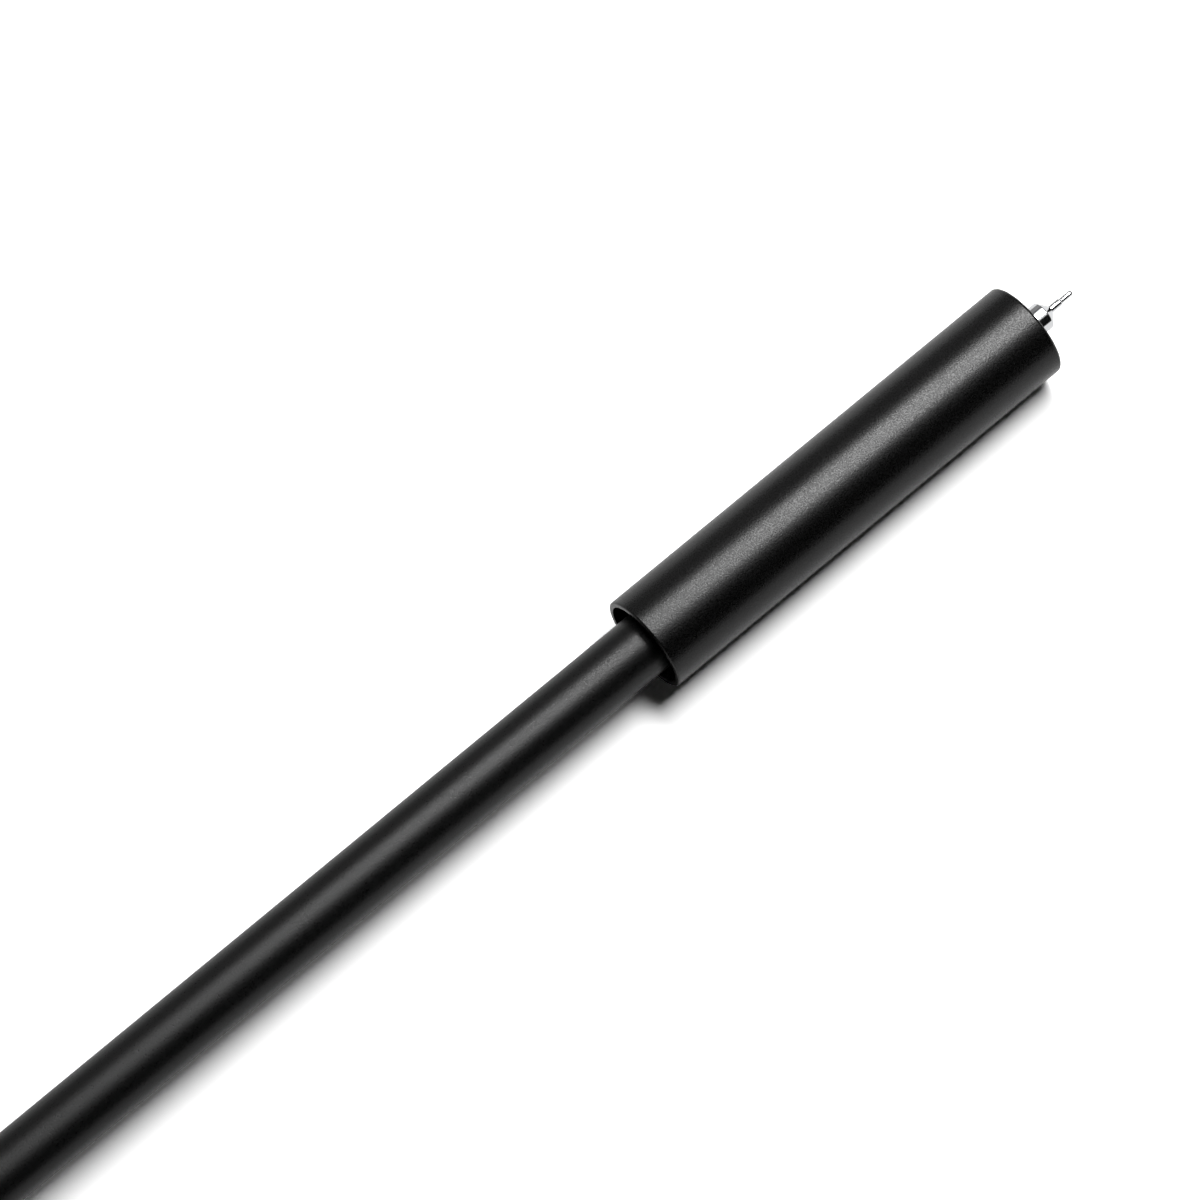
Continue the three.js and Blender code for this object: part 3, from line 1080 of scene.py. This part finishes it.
@dataclass
class Studio:
    """A white table and its lamps in a room of dark cloth.

    One strip softbox hangs past the point's end of the pen, and a weak low one on its far side.
    """

    lamp_height: float = 0.6
    lamp_rear: float = 0.163
    lamp_front: float = 0.336
    lamp_near: float = -0.13
    lamp_far: float = 0.32
    lamp_radiance: float = 20.0
    fill_place: tuple[float, float, float] = (0.45, 0.62, 0.25)
    fill_size: float = 0.4
    fill_radiance: float = 3.4
    table_size: float = 4.0
    table_white: float = 0.95
    table_seen: float = 1.6
    shadow_reach: float = 0.11
    shadow_fade: float = 0.11
    cloth_radius: float = 1.8
    cloth_rings: int = 24
    cloth_foot: float = 0.001
    cloth_white: float = 0.08
    wall_distance: float = 1.3
    wall_height: float = 1.6
    wall_radiance: float = 0.32
    skirt_width: float = 0.19
    skirt_far: float = 0.23
    skirt_gap: float = 0.01
    skirt_radiance: float = 0.9

    def build(self) -> None:
        """Builds the table, the lamps, the cloth, the wall and the world."""
        self._table()
        self._softbox()
        self._fill()
        self._skirt()
        self._cloth()
        self._wall()
        self._world()

    def _lamp(self, name: str, size: Vector, middle: Vector, radiance: float) -> bpy.types.Object:
        """Hangs a softbox that faces straight down and that the camera doesn't see.

        Args:
            name: its name.
            size: its width along X and its depth.
            middle: where its middle is.
            radiance: how bright its face is.

        Returns:
            The lamp's object.
        """
        lamp = bpy.data.lights.new(name, "AREA")
        lamp.shape = "RECTANGLE"
        lamp.size, lamp.size_y = size
        lamp.energy = radiance * math.pi * size.x * size.y
        holder = bpy.data.objects.new(name, lamp)
        holder.location = middle
        holder.visible_camera = False
        bpy.context.scene.collection.objects.link(holder)
        return holder

    def _above(self, near: float, far: float, height: float) -> Vector:
        """The place over the middle of the softbox's length, half way between near and far."""
        return Vector(((self.lamp_front + self.lamp_rear) / 2, (near + far) / 2, height))

    def _softbox(self) -> None:
        """The main softbox, as bright as lights a colour to the level that it is written at."""
        size = Vector((self.lamp_front - self.lamp_rear, self.lamp_far - self.lamp_near))
        middle = self._above(self.lamp_near, self.lamp_far, self.lamp_height)
        self._lamp("softbox", size, middle, self.lamp_radiance)

    def _fill(self) -> None:
        """The low softbox, whose light slips under the barrel. Only the table shows it."""
        place = Vector(self.fill_place)
        size = Vector((self.fill_size, self.fill_size))
        lamp = self._lamp("low_softbox", size, place, self.fill_radiance)
        lamp.rotation_euler = place.to_track_quat("Z", "Y").to_euler()
        lamp.visible_glossy = False

    def _set_up(
        self, name: str, mesh: bmesh.types.BMesh, material: bpy.types.Material
    ) -> bpy.types.Object:
        """Makes one piece of the studio.

        Args:
            name: its name.
            mesh: its mesh data, which is freed.
            material: its finish.

        Returns:
            The new object.
        """
        data = bpy.data.meshes.new(name)
        mesh.to_mesh(data)
        mesh.free()
        data.materials.append(material)
        made = bpy.data.objects.new(name, data)
        bpy.context.scene.collection.objects.link(made)
        return made

    def _table(self) -> None:
        """The table's top."""
        mesh = bmesh.new()
        bmesh.ops.create_grid(mesh, x_segments=1, y_segments=1, size=self.table_size / 2)
        self._set_up("table", mesh, self._table_material())

    def _table_material(self) -> bpy.types.Material:
        """White lacquered board, matt, so that the pen leaves a shadow on it and no reflection.

        To the camera the board is whiter than paper, as in a photo exposed for a white ground.
        Past the pen's shadow it turns to plain white for every ray that looks at it.

        Returns:
            The material.
        """
        material, tree = new_shader("white_board")
        place = add_node(tree, "ShaderNodeTexCoord").outputs["Object"]
        away = add_node(tree, "ShaderNodeVectorMath", {0: place}, operation="LENGTH")
        beyond = add_node(
            tree,
            "ShaderNodeMapRange",
            {
                "Value": away.outputs["Value"],
                "From Min": self.shadow_reach,
                "From Max": self.shadow_reach + self.shadow_fade,
            },
            interpolation_type="SMOOTHSTEP",
        ).outputs["Result"]
        camera = add_node(tree, "ShaderNodeLightPath").outputs["Is Camera Ray"]
        tone = add_node(
            tree,
            "ShaderNodeMapRange",
            {"Value": camera, "To Min": self.table_white, "To Max": self.table_seen},
        ).outputs["Result"]
        pair = {0: beyond, 1: looked_at(tree)}
        share = add_node(tree, "ShaderNodeMath", pair, operation="MULTIPLY").outputs["Value"]
        board = add_node(tree, "ShaderNodeBsdfDiffuse", {"Color": tone}).outputs["BSDF"]
        white = add_node(tree, "ShaderNodeEmission", {"Strength": 1.0}).outputs["Emission"]
        mix = add_node(tree, "ShaderNodeMixShader", {0: share, 1: board, 2: white})
        finish_shader(tree, mix.outputs["Shader"])
        return material

    def _cloth(self) -> None:
        """A dome of dark cloth over the table, which the camera looks through."""
        mesh = bmesh.new()
        bmesh.ops.create_uvsphere(
            mesh,
            u_segments=2 * self.cloth_rings,
            v_segments=self.cloth_rings,
            radius=self.cloth_radius,
        )
        bmesh.ops.bisect_plane(
            mesh,
            geom=mesh.verts[:] + mesh.edges[:] + mesh.faces[:],
            plane_co=(0, 0, self.cloth_foot),
            plane_no=(0, 0, 1),
            clear_inner=True,
        )
        material, tree = new_shader("dark_cloth")
        shade = (self.cloth_white, self.cloth_white, self.cloth_white, 1.0)
        weave = add_node(tree, "ShaderNodeBsdfDiffuse", {"Color": shade}).outputs["BSDF"]
        finish_shader(tree, weave)
        dome = self._set_up("dark_cloth", mesh, material)
        dome.visible_camera = False

    def _glow(self, name: str, size: Vector, middle: Vector, tilt: float, radiance: float) -> None:
        """Sets up a dim panel that only reflections see.

        Args:
            name: its name.
            size: its width along X and its height or depth.
            middle: where its middle is.
            tilt: how far it is tipped up about X, in radians.
            radiance: how bright it looks.
        """
        mesh = bmesh.new()
        bmesh.ops.create_grid(mesh, x_segments=1, y_segments=1, size=0.5)
        bmesh.ops.scale(mesh, vec=(size.x, size.y, 1), verts=mesh.verts)
        bmesh.ops.rotate(mesh, verts=mesh.verts, matrix=Matrix.Rotation(tilt, 3, "X"))
        bmesh.ops.translate(mesh, verts=mesh.verts, vec=middle)
        material, tree = new_shader(name)
        glow = add_node(tree, "ShaderNodeEmission", {"Strength": radiance})
        finish_shader(tree, glow.outputs["Emission"])
        panel = self._set_up(name, mesh, material)
        panel.visible_camera = False
        panel.visible_diffuse = False
        panel.visible_shadow = False

    def _skirt(self) -> None:
        """The softbox's rim, which glows faintly round its bright middle."""
        near = self.lamp_near - self.skirt_width
        far = self.lamp_far + self.skirt_far
        size = Vector((self.lamp_front - self.lamp_rear + 2 * self.skirt_width, far - near))
        middle = self._above(near, far, self.lamp_height + self.skirt_gap)
        self._glow("softbox_rim", size, middle, 0, self.skirt_radiance)

    def _wall(self) -> None:
        """The grey wall on the pen's far side."""
        size = Vector((2 * self.wall_distance, self.wall_height))
        middle = Vector((0, self.wall_distance, self.wall_height / 2))
        self._glow("grey_wall", size, middle, math.pi / 2, self.wall_radiance)

    def _world(self) -> None:
        """A white background for the rays that look at it, and no light from it."""
        world = bpy.data.worlds.new("studio")
        world.use_nodes = True
        tree = world.node_tree
        tree.nodes.clear()
        sky = add_node(tree, "ShaderNodeBackground", {"Strength": looked_at(tree)})
        sky.inputs["Color"].default_value = (1.0, 1.0, 1.0, 1.0)
        add_node(tree, "ShaderNodeOutputWorld", {"Surface": sky.outputs["Background"]})
        bpy.context.scene.world = world


@dataclass
class PhotoCamera:
    """A long lens that looks down from behind, over the centre of the sleeve's rear rim."""

    lens_mm: float = 240.0
    sensor_mm: float = 36.0
    azimuth_deg: float = -41.3
    elevation_deg: float = 69.25
    distance: float = 827.4 * MM
    aim: tuple[float, float, float] = (-0.56 * MM, 6.25 * MM, 1.64 * MM)
    clip_start: float = 0.05
    clip_end: float = 20.0

    def build(self) -> None:
        """Places the camera and makes it the scene's own."""
        azimuth = math.radians(self.azimuth_deg)
        elevation = math.radians(self.elevation_deg)
        back = Vector(
            (
                math.sin(azimuth) * math.cos(elevation),
                -math.cos(azimuth) * math.cos(elevation),
                math.sin(elevation),
            )
        )
        rim = Vector((Span.of("grip_sleeve").tail, 0, AXIS_HEIGHT))
        lens = bpy.data.cameras.new("photo_camera")
        lens.lens = self.lens_mm
        lens.sensor_width = self.sensor_mm
        lens.clip_start = self.clip_start
        lens.clip_end = self.clip_end
        holder = bpy.data.objects.new("photo_camera", lens)
        holder.location = rim + Vector(self.aim) + back * self.distance
        holder.rotation_euler = (-back).to_track_quat("-Z", "Y").to_euler()
        bpy.context.scene.collection.objects.link(holder)
        bpy.context.scene.camera = holder


def finishes() -> dict[Slot, bpy.types.Material]:
    """Makes the finishes that several pieces share.

    Returns:
        The material of each slot.
    """
    polished = TurnedMetal(
        "polished_nickel_silver", "DADBDC", "CBCCCE", 0.1, ring_mm=0.1, ring_depth_mm=0.0001
    )
    clear = MouldedPlastic("extruded_polypropylene", "E8ECEE", 0.15, ior=1.49, transmission=0.85)
    white = MouldedPlastic("moulded_acetal", "ECEBE6", 0.35, ior=1.48, subsurface=0.1)
    ink = MouldedPlastic("black_gel_ink", "0B0B10", 0.08, ior=1.36)
    grease = MouldedPlastic("silicone_grease", "E9DFB4", 0.12, ior=1.42, transmission=0.5)
    return {
        Slot.BLACK: BlastedAnodised("blasted_black_plug", ior=1.385, roughness=0.37).material(),
        Slot.POLISHED: polished.material(),
        Slot.STEEL: TurnedMetal("turned_steel", "B5B6B8", "A2A3A6", 0.28).material(),
        Slot.BRASS: TurnedMetal("turned_brass", "C9A35A", "A9853F", 0.25).material(),
        Slot.RUBBER: MouldedPlastic("nitrile_rubber", "1B1B1B", 0.6, ior=1.52).material(),
        Slot.CLEAR: clear.material(),
        Slot.WHITE: white.material(),
        Slot.INK: ink.material(),
        Slot.GREASE: grease.material(),
    }


def main() -> None:
    """Builds the studio, the camera and the pen, piece by piece."""
    bpy.context.scene.view_settings.view_transform = "Standard"
    PhotoCamera().build()
    Studio().build()
    material = finishes()
    GripSleeve(material[Slot.BRASS], material[Slot.RUBBER]).build()
    Barrel(material[Slot.STEEL]).build()
    Point(material[Slot.POLISHED]).build()
    Refill(material).build()
    Springs(material[Slot.STEEL]).build()
    TailEnd(material[Slot.BLACK], material[Slot.RUBBER]).build()


if __name__ == "__main__":
    main()
